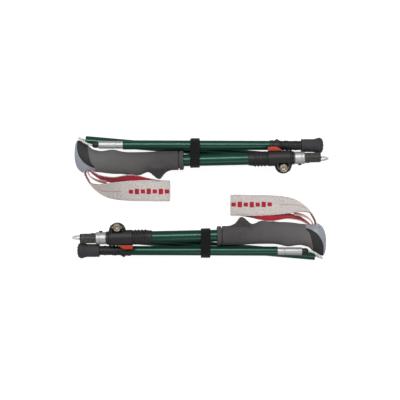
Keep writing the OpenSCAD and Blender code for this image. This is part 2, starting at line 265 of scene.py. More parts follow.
satin_metal = bare_metal("satin_aluminium", (200, 200, 201), (222, 222, 222), 0.44, (0.08, 1, 1))
steel = bare_metal("steel", (120, 120, 122), (190, 190, 190), 0.25)
bronze = bare_metal("bronze_plated_screw", (132, 122, 104), (204, 194, 174), 0.28)

# %% [markdown]
# ## Plastics and rubber
# Moulded parts come out of a spark-eroded tool, which leaves a fine matt texture all
# over. A dense noise bump does that. Rubber is rougher. The studs of the socket knurl
# are painted paler than the socket's black rubber: a painted highlight on the high spots.

# %% Moulded plastics
def moulded(name, dark, light, rough, scale=1900, depth=0.00006, strength=0.35, coat=0.0):
    f = Finish(name, Coat_Weight=coat, Coat_Roughness=0.35, IOR=1.48)
    fine = f.noise(scale, 2, 0.5)
    cloudy = f.noise(45, 4, 0.6)
    stops = (0.3, dark), (0.7, light)
    return f.look(0.6 * cloudy + 0.4 * fine, stops, rough + 0.12 * fine, fine, strength, depth)


black_nylon = moulded("black_nylon", (23, 23, 26), (40, 40, 43), 0.42)
orange_nylon = moulded("orange_nylon", (182, 50, 28), (206, 68, 36), 0.38)
button_nylon = moulded("button_nylon", (28, 28, 30), (44, 44, 46), 0.4)
inlay_rubber = moulded("inlay_rubber", (36, 36, 38), (52, 52, 54), 0.62, 1300, 0.0001, 0.5)
cap_plastic = moulded("grey_cap_plastic", (150, 155, 167), (176, 180, 190), 0.3, 1700, 0.00004, 0.2, 0.35)
socket_rubber = moulded("socket_rubber", (16, 16, 15), (30, 30, 28), 0.4, 1300, 0.0001, 0.4, 0.2)
# Painted highlight: the knurl studs are the socket's black rubber, painted paler.
knurl_rubber_painted_highlight = moulded("knurl_rubber_painted_highlight", (80, 80, 77), (112, 112, 107), 0.36, 1300, 0.00006, 0.3, 0.3)
foot_rubber = moulded("foot_rubber", (44, 44, 47), (66, 66, 69), 0.66, 1100, 0.0001, 0.5)

# %% [markdown]
# ## Foam, cloth and cord
# The grip is EVA foam, full of tiny closed cells, and its colour is painted paler towards
# the head end: painted light along the grip. The strap is knitted from two greys of yarn,
# with a red lining. These finishes follow the cloth, so they read the piece's own UV map,
# which is in metres: U along, V across.

# %% Foam, webbing, lining, hook-and-loop and cord
foam = Finish("eva_foam", Sheen_Weight=0.08, IOR=1.45)
pores = foam.cells(1150)
cloudy = foam.noise(30, 5, 0.62)
x, y, _ = foam.axes(foam.place())
along_x = x.abs()
# Painted light: the foam's colour is painted paler towards the head end of the grip.
painted_light_to_head = foam.node("MapRange", Value=along_x, From_Min=0.05, From_Max=0.17)
# The finger stop has fine slanting grooves, so that a wet finger doesn't slip off it.
groove = 0.5 + 0.5 * ((x + y) * (2 * math.pi / 0.0034)).sin()
low_side = foam.node("MapRange", Value=y.abs(), From_Min=0.0455, From_Max=0.0425)
near_stop = foam.node("MapRange", Value=along_x, From_Min=0.079, From_Max=0.075)
groove_bump_and_shade = groove * low_side * near_stop
# The grooves are bumped in, and their colour is painted darker: painted shade in the grooves.
shade = 0.35 * cloudy + 0.2 * pores + 0.45 * painted_light_to_head - 0.25 * groove_bump_and_shade
greys = (0.05, (46, 45, 45)), (0.25, (78, 75, 75)), (0.85, (118, 116, 115))
foam.look(shade, greys, 0.78 + 0.15 * pores, pores - 1.2 * groove_bump_and_shade, 0.45, 0.2 * MM)


def knitted(name, dark, middle, light, rib=0.00055):
    f = Finish(name, Sheen_Weight=0.2, IOR=1.45)
    u, v, _ = f.axes(f.flat())
    turn = 2 * math.pi / rib
    knit = 0.5 + 0.5 * ((u * turn).sin() * (v * turn).sin())
    yarn = f.noise(900, 2, 0.6, f.stretched(f.flat(), (0.35, 1, 1)))
    patchy = f.noise(70, 3, 0.6, f.flat())
    tone = 0.7 * yarn + 0.2 * knit + 0.1 * patchy
    stops = (0.3, dark), (0.5, middle), (0.72, light)
    return f.look(tone, stops, 0.8 + 0.15 * knit, 0.7 * knit + 0.3 * yarn, 0.5, 0.18 * MM)


webbing = knitted("grey_melange_webbing", (168, 160, 158), (226, 217, 212), (250, 243, 238))
lining = knitted("red_lining", (150, 16, 36), (186, 26, 50), (210, 44, 64))
red_print = knitted("red_print", (164, 26, 46), (186, 34, 54), (204, 56, 74), 0.0008)
thread = knitted("grey_thread", (150, 146, 142), (188, 184, 178), (214, 210, 204), 0.0003)

hook_loop = Finish("hook_and_loop", Sheen_Weight=0.15, IOR=1.4)
fuzz = hook_loop.noise(2400, 4, 0.75)
tuft = hook_loop.cells(650)
blacks = (0.3, (6, 6, 9)), (0.75, (24, 23, 28))
hook_loop.look(0.6 * fuzz + 0.4 * tuft, blacks, 0.85 + 0.12 * fuzz, 0.5 * fuzz + 0.5 * tuft, 0.7, 0.4 * MM)

braid = Finish("braided_cord", IOR=1.46, Coat_Weight=0.1)
u, v, _ = braid.axes(braid.flat())
strand = 2 * math.pi / 0.0011
over = (u * strand + v * strand).sin().most((u * strand - v * strand).sin())
creams = (0.2, (196, 192, 176)), (0.7, (246, 243, 234))
braid.look(0.5 + 0.5 * over, creams, 0.5 + 0.2 * over.abs(), over, 0.6, 0.2 * MM)
print("finishes", len(bpy.data.materials))

# %% [markdown]
# ## Where the sections lie
# Each pole section has its own axis, a few degrees off the others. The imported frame
# knows them: a sliding joint gives the direction, and a CAD tube gives a point on it.
# `Section` turns a station along that axis into a place, and reads sizes off CAD nodes.

# %% Section frames
def node_points(node):
    mesh = frame["nodes"][node].data
    points = np.empty(len(mesh.vertices) * 3)
    mesh.vertices.foreach_get("co", points)
    return points.reshape(-1, 3)


class Axis:
    """A frame whose X axis runs along a part, with places given in millimetres."""
    def __init__(self, matrix):
        self.matrix = matrix

    def at(self, x, y=0.0, z=0.0):
        return self.matrix @ (Vector((x, y, z)) * MM)


class Section(Axis):
    def __init__(self, node, joint):
        along = Vector(next(j["axis"] for j in frame["joints"] if j["name"] == joint))
        along *= math.copysign(1, along.x)
        side = Vector((0, 0, 1)).cross(along).normalized()
        up = along.cross(side)
        across = [node_points(node) @ np.array(d) for d in (side, up)]
        centre = [reach.min() / 2 + reach.max() / 2 for reach in across]
        start = side * centre[0] + up * centre[1]
        start -= along * (start.x / along.x)
        self.matrix = Matrix((along, side, up)).transposed().to_4x4()
        self.matrix.translation = start

    def local(self, node):
        back = np.array(self.matrix.inverted())
        return (node_points(node) @ back[:3, :3].T + back[:3, 3]) / MM

    def span(self, node):
        """First station, last station and greatest radius of a CAD node, in millimetres."""
        p = self.local(node)
        return p[:, 0].min(), p[:, 0].max(), np.hypot(p[:, 1], p[:, 2]).max()


upper = Section("upper_tube_1", "extend_1")
middle = Section("middle_tube_1", "seat_middle_1")
lower = Section("lower_tube_1", "foot_1")
for label, section in (("upper", upper), ("middle", middle), ("lower", lower)):
    print(label, "crosses the middle at", [round(c / MM, 2) for c in section.matrix.translation])

# %% [markdown]
# ## Making a piece
# Every piece is built once, for the first pole, and its twin is the same mesh turned
# half a turn. Faces get smooth shading with sharp edges kept past 38 degrees.

# %% Lengths, directions and faces
def whole_turn(count):
    """Angles evenly spaced round a circle."""
    return np.linspace(0, 2 * math.pi, count, False)


def unit_rows(rows):
    return rows / np.linalg.norm(rows, axis=1)[:, None]


def run_lengths(line):
    """The distance from the start of a line to each of its points."""
    return np.concatenate(([0], np.cumsum(np.linalg.norm(np.diff(line, axis=0), axis=1))))


def ring_faces(rings, around, closed=False):
    """Quads between rings of points. The last ring meets the first, or both get a cap."""
    faces = []
    for i in range(rings if closed else rings - 1):
        near, far = i * around, (i + 1) % rings * around
        for k in range(around):
            m = (k + 1) % around
            faces.append((near + k, near + m, far + m, far + k))
    if not closed:
        last = (rings - 1) * around
        faces += [tuple(range(around - 1, -1, -1)), tuple(range(last, last + around))]
    return faces


# %% Mesh helpers
def new_piece(name, points, faces, material, flat=None):
    mesh = bpy.data.meshes.new(name)
    mesh.from_pydata([tuple(p) for p in points], [], faces)
    if flat is not None:
        layer = mesh.uv_layers.new(name="flat")
        corner = np.array([flat[i] for face in faces for i in face], np.float32)
        layer.uv.foreach_set("vector", corner.ravel())
    mesh.materials.append(material)
    return placed(name, mesh)


def smooth(piece):
    piece.data.polygons.foreach_set("use_smooth", [True] * len(piece.data.polygons))
    return piece


def settle(piece, angle=38, outward=True):
    """Merges doubles, points faces outward and sets the shading."""
    work = bmesh.new()
    work.from_mesh(piece.data)
    bmesh.ops.remove_doubles(work, verts=work.verts, dist=1e-7)
    if outward:
        bmesh.ops.recalc_face_normals(work, faces=work.faces)
    work.to_mesh(piece.data)
    work.free()
    smooth(piece).data.set_sharp_from_angle(angle=math.radians(angle))
    return piece


def baked(piece):
    """The piece with its modifiers worked into the mesh."""
    bpy.context.view_layer.update()
    worked = piece.evaluated_get(bpy.context.evaluated_depsgraph_get())
    mesh = bpy.data.meshes.new_from_object(worked)
    old = piece.data
    piece.modifiers.clear()
    piece.data = mesh
    if old.users == 0:
        bpy.data.meshes.remove(old)
    return piece


def install(piece, body, slot, *nodes):
    """The piece on pole 1 and its twin on pole 2, each riding on its own body."""
    base = piece.name.removesuffix("_1")
    twin = placed(base + "_2", piece.data.copy())
    twin.data.transform(half_turn)
    for n, each in zip(POLES, (piece, twin)):
        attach(each, f"{body}_{n}")
        if nodes:
            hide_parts(*[f"{node}_{n}" for node in nodes])
    print(base, len(piece.data.polygons), "faces")
    return piece, twin


# %% [markdown]
# ## Turned parts
# Tubes, ferrules, collars and the rubber foot are all round, so each is an outline of
# station and radius, spun about its section. `soften` rounds every corner a little:
# no real edge is perfectly sharp, and the rounding is what catches the light.

# %% Spun outlines
ON_AXIS = 0.01


def soften(outline, radius=0.25, steps=2):
    """Each corner becomes a short curve, except on the axis and where sides are tiny."""
    soft = []
    count = len(outline)
    for i, corner in enumerate(outline):
        p, a, b = (np.array(outline[k % count], float) for k in (i, i - 1, i + 1))
        near = [np.linalg.norm(q - p) for q in (a, b)]
        cut = min([radius] + [0.45 * d for d in near])
        if p[1] < ON_AXIS or cut < 0.02:
            soft.append(tuple(p))
            continue
        ends = [p + (q - p) * cut / d for q, d in zip((a, b), near)]
        for k in range(steps + 1):
            t = k / steps
            soft.append(tuple((1 - t) ** 2 * ends[0] + 2 * t * (1 - t) * p + t * t * ends[1]))
    return soft


def turned(name, section, outline, material, radius=0.25, sides=96, wave=None):
    """Spins a closed outline of (station, radius). `wave` adds to a point's radius."""
    soft = soften(outline, radius)
    points = []
    for x, r in soft:
        for a in whole_turn(sides):
            rr = r + (wave(x, a, r) if wave else 0)
            points.append(section.at(x, rr * math.cos(a), rr * math.sin(a)))
    # No face runs along the axis itself.
    radii = np.repeat([r for _, r in soft], sides)
    faces = ring_faces(len(soft), sides, closed=True)
    faces = [f for f in faces if max(radii[f[0]], radii[f[2]]) >= ON_AXIS]
    return settle(new_piece(name, points, faces, material))


def stepped(x, r, *steps):
    """Outline points, each a step along and a step out from station x and radius r."""
    return [(x + along, r + out) for along, out in steps]


# %% [markdown]
# The shafts: an 18 mm upper tube, the extension inside it, and 14 mm lower sections.
# Their lengths and diameters are read off the CAD nodes, and the walls are 1 mm or so.

# %% Shafts
shafts = (("upper", upper, 0.95, 0.25, anodised.material, "grip", "tube_green"),
          ("extension", upper, 0.75, 0.25, satin_metal, "extension", "metal"),
          ("middle", middle, 1.2, 0.35, anodised.material, "middle", "tube_green"),
          ("lower", lower, 1.2, 0.35, anodised.material, "lower", "tube_green"))
for label, section, wall, rounding, finish, body, slot in shafts:
    x0, x1, r = section.span(label + "_tube_1")
    outline = [(x0, r), (x1, r), (x1, r - wall), (x0, r - wall)]
    install(turned(label + "_shaft_1", section, outline, finish, rounding), body, slot, label + "_tube")

# %% [markdown]
# The joint ferrules are bare aluminium plugs with a black plastic nose, and they show
# on the folded pole between cord and tube. A shallow groove marks the pressed joint.

# %% Joint plugs
nose_l, nose_r, stem_r, bore = 10, 4.7, 4.4, 1.6
nose = [(0, 3.1), (1.2, 3.9), (3, nose_r), (nose_l - 1.6, nose_r), (nose_l - 1.2, stem_r),
        (nose_l + 4, stem_r), (nose_l + 4, bore), (0, bore)]
plugs = (("middle", middle, middle.span("middle_plug_1")[1], -1),
         ("lower", lower, lower.span("lower_plug_1")[0], 1))
for label, section, tip, step in plugs:
    x0, x1, r = section.span(label + "_plug_1")
    skirt = stepped(nose_l, r, (-0.6, -0.5), (0, 0), (24, 0), (24.6, -0.35), (25.6, -0.35), (26.2, 0))
    skirt += [(x1 - x0, r), (x1 - x0, stem_r + 0.05), (nose_l - 0.6, stem_r + 0.05)]
    nose_line, skirt_line = ([(tip + step * d, out) for d, out in line] for line in (nose, skirt))
    install(turned(label + "_nose_1", section, nose_line, black_nylon, 0.3), label, "dark_plastic")
    ferrule = turned(label + "_ferrule_1", section, skirt_line, satin_metal)
    install(ferrule, label, "metal", label + "_plug")

# %% [markdown]
# The socket end: a bright collar with a release button, then the black joint socket,
# which has a coarse knurl to grip when the pole is pulled tight. The knurl is hundreds
# of small studs in rings, which is a job for Geometry Nodes.

# %% Geometry Nodes in a few lines
class Nodes:
    """A tree with named inputs. Its Float inputs are lengths, given in millimetres."""
    def __init__(self, name, **inputs):
        self.group = bpy.data.node_groups.new(name, "GeometryNodeTree")
        face = self.group.interface
        face.new_socket("Geometry", in_out="INPUT", socket_type="NodeSocketGeometry")
        self.ids = {}
        for key, kind in inputs.items():
            socket = face.new_socket(key, in_out="INPUT", socket_type="NodeSocket" + kind)
            self.ids[key] = socket.identifier, kind
        face.new_socket("Geometry", in_out="OUTPUT", socket_type="NodeSocketGeometry")
        self.inlet = self.group.nodes.new("NodeGroupInput")
        self.outlet = self.group.nodes.new("NodeGroupOutput")
        self.guide = Sock(self.group, self.inlet.outputs[0])

    def given(self):
        """The named inputs, in the order in which they were named."""
        return [Sock(self.group, self.inlet.outputs[key]) for key in self.ids]

    def add(self, kind, *settings, **rest):
        return add_node(self.group, kind, *settings, **rest)

    def combine(self, x, y, z):
        return self.add("ShaderNodeCombineXYZ", X=x, Y=y, Z=z)

    def copies(self, points, shape, rotation, scale, material):
        """Ends the tree: a shape on every point, made real, smooth and with a material."""
        made = self.add("GeometryNodeInstanceOnPoints", Points=points, Instance=shape,
                        Rotation=rotation, Scale=scale)
        solid = self.add("GeometryNodeRealizeInstances", Geometry=made)
        smoothed = self.add("GeometryNodeSetShadeSmooth", Geometry=solid)
        done = self.add("GeometryNodeSetMaterial", Geometry=smoothed, Material=material)
        self.group.links.new(done.socket, self.outlet.inputs[0])

    def grow(self, name, guide, **inputs):
        """Runs the tree on a guide mesh and returns its result as a plain piece."""
        piece = placed(name, guide)
        modifier = piece.modifiers.new(self.group.name, "NODES")
        modifier.node_group = self.group
        for key, value in inputs.items():
            identifier, kind = self.ids[key]
            modifier[identifier] = value * MM if kind == "Float" else value
        return baked(piece)


# %% Rings of studs
studs = Nodes("ring_studs", Around="Int", Rows="Int", Pitch="Float", First="Float", Radius="Float",
              Length="Float", Width="Float", Height="Float", Finish="Material")
around, rows, pitch, first, radius, length, width, height, finish = studs.given()
dots = studs.add("GeometryNodePoints", Count=around * rows)
index = studs.add("GeometryNodeInputIndex")
row = (index / around).floor()
angle = (index + row * 0.5) * (2 * math.pi / around)
ring_y, ring_z = angle.cos() * radius, angle.sin() * radius
outward = studs.add("ShaderNodeCombineXYZ", Y=ring_y, Z=ring_z)
station = studs.combine(first + row * pitch, ring_y, ring_z)
set_dots = studs.add("GeometryNodeSetPosition", Geometry=dots, Position=station)
ball = studs.add("GeometryNodeMeshUVSphere", Segments=8, Rings=5, Radius=1.0)
turn = studs.add("FunctionNodeAlignRotationToVector", {"axis": "Z"}, Vector=outward)
studs.copies(set_dots, ball, turn, studs.combine(length, width, height), finish)


def stud_rings(name, section, **inputs):
    piece = studs.grow(name, bpy.data.meshes.new(name), **inputs)
    piece.data.transform(section.matrix)
    return piece


# %% Collar, socket and knurl
x0, x1, r = upper.span("joint_collar_1")
collar = stepped(x0, r, (0, -0.5), (0.6, 0), (9.6, 0), (10, -0.3), (10.8, -0.3), (11.2, 0))
collar += [(x1 - 1, r), (x1, r - 0.8), (x1, 7.3), (x1 - 2, 7.3), (x1 - 2, 8.05), (x0, 8.05)]
install(turned("collar_sleeve_1", upper, collar, satin_metal), "extension", "metal", "joint_collar")

back, mouth, r = upper.span("tension_tube_1")
socket = [(back, r), (x1 + 0.6, r), (x1 + 1, r - 0.15), (mouth - 1.6, r - 0.15), (mouth - 0.9, r),
          (mouth, r - 0.5), (mouth, 6.4), (mouth - 1.2, 5.85), (back, 5.85)]
install(turned("joint_socket_1", upper, socket, socket_rubber), "socket", "dark_plastic", "tension_tube")
# The studs take the paler rubber, which is a painted highlight on the knurl.
knurl = stud_rings("socket_knurl_1", upper, Finish=knurl_rubber_painted_highlight, Around=20, Rows=11, Pitch=1.92,
                   First=x1 + 1.8, Radius=r - 0.2, Length=0.8, Width=0.74, Height=0.55)
install(knurl, "socket", "dark_plastic")

# %% [markdown]
# ## The tip
# A black plastic shaft is pressed over the lower tube. It has a stepped collar, two
# turns of thread for a basket, and a rubber foot that pulls off the carbide point. The
# foot has shallow flutes round its barrel, and lugs on the sole.

# %% Tip shaft and its thread
x0, x1, r = lower.span("tip_shaft_1")
sleeve, slim, taper = 7.9, 6.8, 8
shaft_outline = stepped(x0, sleeve, (0, -0.5), (0.8, 0), (5.4, 0), (5.8, -0.35), (6.8, -0.35),
                        (7.2, 0), (14, 0))
shaft_outline += stepped(x0, slim, (17, 0), (24, 0), (24.6, 0.6), (27.4, 0.6), (28, 0), (37, 0),
                         (37.6, 0.5), (40, 0.5), (40.6, 0))
shaft_outline += [(x1 - taper, slim), (x1, 4.2), (x1, 2.5), (x1 - 16, 2.5), (x1 - 16, 6.9), (x0, 6.9)]
install(turned("tip_sleeve_1", lower, shaft_outline, black_nylon, 0.3), "lower", "dark_plastic", "tip_shaft")


def helix(name, section, start, pitch, turns, radius, width, height, material):
    """A ridge of triangular section that winds round the axis and fades at both ends."""
    steps = int(turns * 40)
    points = []
    for i in range(steps + 1):
        t = i / steps
        a = 2 * math.pi * turns * t
        x = start + pitch * turns * t
        crest = height * min(1, 8 * t, 8 * (1 - t)) ** 0.6
        for dx, lift in ((-width / 2, -0.3), (-width / 5, crest), (width / 5, crest), (width / 2, -0.3)):
            rr = radius + lift
            points.append(section.at(x + dx, rr * math.cos(a), rr * math.sin(a)))
    return settle(new_piece(name, points, ring_faces(steps + 1, 4), material))


thread_ridge = helix("basket_thread_1", lower, start=x0 + 17.5, pitch=5.2, turns=1.15, radius=slim,
                     width=2.6, height=1.0, material=black_nylon)
install(thread_ridge, "lower", "dark_plastic")


def spike(name, degrees, x, sides=24):
    """One of the two ramped catches that a basket clicks behind."""
    base, height, half, foot_r = 5.2, 4.3, 2.6, 6.4
    levels = ((0, 1.0), (0.55, 0.5), (0.9, 0.2), (1, 0.06))
    spun = Matrix.Rotation(math.radians(degrees), 4, "X")
    points = []
    for level, scale in levels:
        for a in whole_turn(sides):
            along = math.copysign(abs(math.cos(a)) ** 0.8, math.cos(a))
            spot = (x + scale * base * along, foot_r + height * level, scale * half * math.sin(a))
            points.append(lower.matrix @ (spun @ (Vector(spot) * MM)))
    return settle(new_piece(name, points, ring_faces(len(levels), sides), black_nylon))


for letter, degrees in (("a", 25), ("b", 205)):
    install(spike(f"basket_catch_{letter}_1", degrees, x0 + 10.5), "lower", "dark_plastic")
p0, p1, r = lower.span("carbide_tip_1")
carbide = [(p0, 0), (p0, r), (p1 - 3, r), (p1 - 1.4, r - 0.5), (p1, r - 0.6), (p1, 1.3), (p1 - 1.3, 0)]
install(turned("carbide_point_1", lower, carbide, steel, 0.15, 48), "lower", "carbide", "carbide_tip")

# %% Rubber foot
f0, f1, sole_r = lower.span("rubber_foot_1")
barrel = 9.8
foot_outline = stepped(f0, barrel, (0, -0.9), (0.9, 0), (3.2, 0), (3.6, -0.4), (4.6, -0.4), (5, 0))
foot_outline += stepped(f1, barrel, (-15, 0), (-12.5, 0.45), (-10, 1.2))
foot_outline += stepped(f1, sole_r, (-7.6, -0.25), (-6.4, 0), (-5, 0), (-3.2, -0.9), (-1.6, -2.6),
                        (-0.5, -5.5))
foot_outline += [(f1, 3.5), (f1, 0), (f1 - 10, 0), (f1 - 10, 3), (f1 - 17, 4.6), (f1 - 25, slim + 0.1),
                 (f0, slim + 0.1)]


def flutes(x, a, r):
    if r < barrel - 0.2 or not f0 + 6 < x < f1 - 9:
        return 0
    ends = min(1, (x - f0 - 6) / 1.5, (f1 - 9 - x) / 2.5)
    return -0.32 * max(0, ends) * (0.5 + 0.5 * math.cos(18 * a)) ** 3


long_outline = []
for (xa, ra), (xb, rb) in zip(foot_outline, foot_outline[1:] + foot_outline[:1]):
    parts = max(1, int(abs(xb - xa) / 1.4)) if min(ra, rb) > barrel - 0.5 else 1
    long_outline += [(xa + (xb - xa) * k / parts, ra + (rb - ra) * k / parts) for k in range(parts)]
foot = turned("rubber_boot_1", lower, long_outline, foot_rubber, 0.35, 144, flutes)
install(foot, "foot", "tip_rubber", "rubber_foot")
for letter, around, radius, first in (("a", 12, sole_r - 2.4, f1 - 1.9), ("b", 8, sole_r - 5.6, f1 - 0.7)):
    lugs = stud_rings(f"sole_lugs_{letter}_1", lower, Finish=foot_rubber, Around=around, Rows=1, Pitch=1,
                      First=first, Radius=radius, Length=0.9, Width=1.1, Height=0.55)
    install(lugs, "foot", "tip_rubber")

# %% [markdown]
# ## The lever clamp
# The clamp is one moulding: a sleeve round the tube, two ears with a slit between, and
# ribs to hold it by. A moulding has soft edges everywhere, even where shapes merge.
# So the CAD solid is copied, wrapped in a fine voxel skin and smoothed a little: the
# skin keeps every form and rounds every edge. The lever is made alike; the screw is spun from an outline.

# %% Copies with moulded edges
def cad_copy(name, node, material):
    mesh = frame["nodes"][node].data.copy()
    mesh.materials.clear()
    mesh.materials.append(material)
    return settle(placed(name, mesh), outward=False)


def moulded_copy(piece, voxel, smoothing):
    remesh = piece.modifiers.new("skin", "REMESH")
    remesh.mode, remesh.voxel_size, remesh.use_smooth_shade = "VOXEL", voxel * MM, True
    soft = piece.modifiers.new("soft", "SMOOTH")
    soft.factor, soft.iterations = 0.5, smoothing
    thin = piece.modifiers.new("thin", "DECIMATE")
    thin.ratio = 0.35
    return smooth(baked(piece))


def joined(name, *pieces):
    """One piece from several, which overlap, so that a voxel skin can fuse them."""
    work = bmesh.new()
    for piece in pieces:
        work.from_mesh(piece.data)
    mesh = bpy.data.meshes.new(name)
    work.to_mesh(mesh)
    work.free()
    mesh.materials.append(pieces[0].data.materials[0])
    for piece in pieces:
        bpy.data.objects.remove(piece)
    return placed(name, mesh)


def prism(name, outline, low, high, material):
    """An outline of (station, side) points on the upper tube, as tall as low to high."""
    points = [upper.at(x, y, z) for z in (low, high) for x, y in outline]
    return new_piece(name, points, ring_faces(2, len(outline)), material)


def rounded(piece, width, segments):
    edge = piece.modifiers.new("edge", "BEVEL")
    edge.width, edge.segments = width * MM, segments
    return settle(baked(piece), 50)


# %% Clamp body
c0, c1, _ = upper.span("clamp_body_1")
first_rib, rib_step, rib_count, rib_sink = c0 + 8.6, 5, 4, 0.45
rib_shape = ((0, 10.2), (0.5, 11.4), (2.2, 11.4), (2.9, 10.2), (2.9, 9.6), (0, 9.6))
ribs = []
for k in range(rib_count):
    rib = stepped(first_rib + rib_step * k, 0, *rib_shape)
    ribs.append(turned(f"rib_{k}", upper, rib, black_nylon, 0.2, 64))
    ribs[-1].data.transform(Matrix.Translation((0, -rib_sink * MM, 0)))
band = stepped(c1, 0, (-4.4, 10.6), (-4.4, 11.9), (-7.2, 11.9), (-7.2, 10.6))
ribs.append(turned("clamp_band", upper, band, black_nylon, 0.2, 64))
clamp = joined("clamp_moulding_1", cad_copy("clamp_body_cad", "clamp_body_1", black_nylon), *ribs)
install(moulded_copy(clamp, 0.42, 5), "grip", "dark_plastic", "clamp_body")

# %% Lever: the CAD arm, cut off where the orange tab begins
lever = cad_copy("lever_arm_1", "clamp_lever_1", black_nylon)
work = bmesh.new()
work.from_mesh(lever.data)
tab_edge = 11.3
sideways = upper.matrix.to_3x3() @ Vector((0, 1, 0))
bmesh.ops.bisect_plane(work, geom=work.verts[:] + work.edges[:] + work.faces[:],
                       plane_co=upper.at(0, tab_edge), plane_no=sideways, clear_outer=True)
bmesh.ops.holes_fill(work, edges=[e for e in work.edges if e.is_boundary])
work.to_mesh(lever.data)
work.free()
install(moulded_copy(lever, 0.34, 4), "lever", "dark_plastic", "clamp_lever")

# %% Tab, its ridges, and the screw
tab_x, tab_low, tab_thick = 100.9, 8.3, 3
tab_outline = stepped(tab_x, 0, (0, tab_edge - 0.4), (0, 15.6), (1.4, 16.9), (13, 16.9), (20, 12.6),
                      (20.6, tab_edge - 0.4))
tab = prism("lever_tab_1", tab_outline, tab_low, tab_low + tab_thick, orange_nylon)
install(rounded(tab, 0.7, 4), "lever", "lever_plastic")
for k, letter in enumerate("abcd"):
    bar = stepped(tab_x + 3 + 2.4 * k, 0, (-0.45, 12), (0.45, 12), (0.45, 15.8), (-0.45, 15.8))
    top = tab_low + tab_thick
    ridge = prism(f"tab_ridge_{letter}_1", bar, top - 0.3, top + 0.35, orange_nylon)
    install(rounded(ridge, 0.22, 3), "lever", "lever_plastic")

# The screw's own axis stands across the clamp, so it gets a frame of its own.
screw_x, screw_y = 123.8, -15.5
heights, dial_r = upper.local("clamp_screw_1")[:, 2], 6.3
low, high = heights.min(), heights.max()
turn_up = Matrix(((0, 0, -1), (0, 1, 0), (1, 0, 0))).to_4x4()
across_clamp = Matrix.Translation(Vector((screw_x, screw_y, 0)) * MM)
screw_axis = Axis(upper.matrix @ across_clamp @ turn_up)
dial = [(low, 0), (low, 3.5), (low + 0.4, 3.8), (low + 2.8, 3.8), (low + 2.8, 1.75), (high - 2.6, 1.75)]
dial += stepped(high, dial_r, (-2.6, -0.5), (-2.1, 0), (-0.9, 0), (-0.15, -0.8))
dial += stepped(high, 0, (-0.15, 5.1), (-0.55, 4.8), (-0.55, 4.1), (0, 3.7), (0, 2.75), (-0.3, 2.55),
                (-1.7, 2.45), (-1.9, 0))


def star(x, a, r):
    """Coin-edge flutes on the rim, and a six-lobed driver recess in the middle."""
    if r > 5.6:
        return -0.12 * (0.5 + 0.5 * math.cos(30 * a))
    recess = 1 if 2 < r < 2.9 and x > high - 1.8 else 0
    return recess * 0.55 * math.cos(6 * a)


screw = turned("screw_dial_1", screw_axis, dial, bronze, 0.18, 180, star)
install(screw, "screw", "screw_metal", "clamp_screw")

# %% [markdown]
# ## CAD parts that keep their shape
# Pins, the release button and the inner cord are right as they are, so they only get a
# finish. Their meshes aren't touched.

# %% Finishes for kept CAD nodes
kept = {"strap_pin": steel, "lever_pin": steel, "release_button": button_nylon, "button_spring": steel,
        "cord_anchor": braid.material, "cord_middle": braid.material, "cord_end": braid.material}
for part, finish in kept.items():
    for n in POLES:
        node = frame["nodes"][f"{part}_{n}"]
        for slot in node.material_slots:
            slot.link = "OBJECT"
            slot.material = finish

# %% [markdown]
# ## The grip
# Head and foam are one flowing form, cut by two seams. So one smooth skin is drawn
# through oval rings, and then cut up: a slanted plane parts head from foam, and a large
# curved face parts the grey cap from the dark core. A hair of space is left at each
# seam, which is how a real joint between two mouldings reads. The finger bump has
# slanting ribs, pushed out of the skin itself.

# %% Smooth rows
def smooth_rows(rows, steps):
    """Catmull-Rom points through rows of numbers, with `steps` points on each span."""
    rows = np.array(rows, float)
    padded = np.vstack((rows[:1], rows, rows[-1:]))
    out = []
    for a, b, c, d in zip(padded, padded[1:], padded[2:], padded[3:]):
        for t in np.arange(steps) / steps:
            curve = (2 * a - 5 * b + 4 * c - d) * t ** 2 + (3 * b - a - 3 * c + d) * t ** 3
            out.append(0.5 * (2 * b + (c - a) * t + curve))
    return np.array(out + [rows[-1]])


# %% The grip's skin
# Head first: station, rear, front and half width, in millimetres.
grip_rows = [
    (-189, 16, 4, 3.4), (-188, 26, -1.5, 7.4), (-186.5, 30.8, -6, 9.6), (-184.5, 33.4, -9.8, 11),
    (-182, 33.4, -12.4, 11.8), (-179, 32, -14.6, 12.4), (-175.5, 29.6, -15.6, 12.8),
    (-171.5, 27, -15, 13), (-167.5, 24.6, -14, 13), (-163, 20.4, -14, 12.8), (-156, 18, -15, 13),
    (-150, 16.8, -15.6, 13.2), (-143, 17.2, -16.8, 13.4), (-138, 18, -17.4, 13.5),
    (-133, 18.4, -18, 13.5), (-127, 17.8, -18.4, 13.5), (-120, 15.8, -18.6, 13.5),
    (-112, 14.4, -19.6, 13.5), (-104, 14, -20.8, 13.5), (-91, 13.8, -20.8, 13.5),
    (-84, 13.8, -18, 13.3), (-79, 13.9, -16.8, 13.2), (-75, 14, -18.4, 13.2),
    (-68, 14.2, -24.6, 12.6), (-64, 14.3, -27.2, 11.4), (-60, 14.3, -26.6, 11.4),
    (-57, 14.4, -23, 12.4), (-52, 14.4, -17.8, 13), (-45, 14.4, -14.8, 13.4),
    (-38, 14.4, -14.4, 13.6), (-33, 14.4, -14.4, 13.6)]
bump_from, bump_to, rib_pitch, rib_depth = -80, -52, 2.1, 0.34


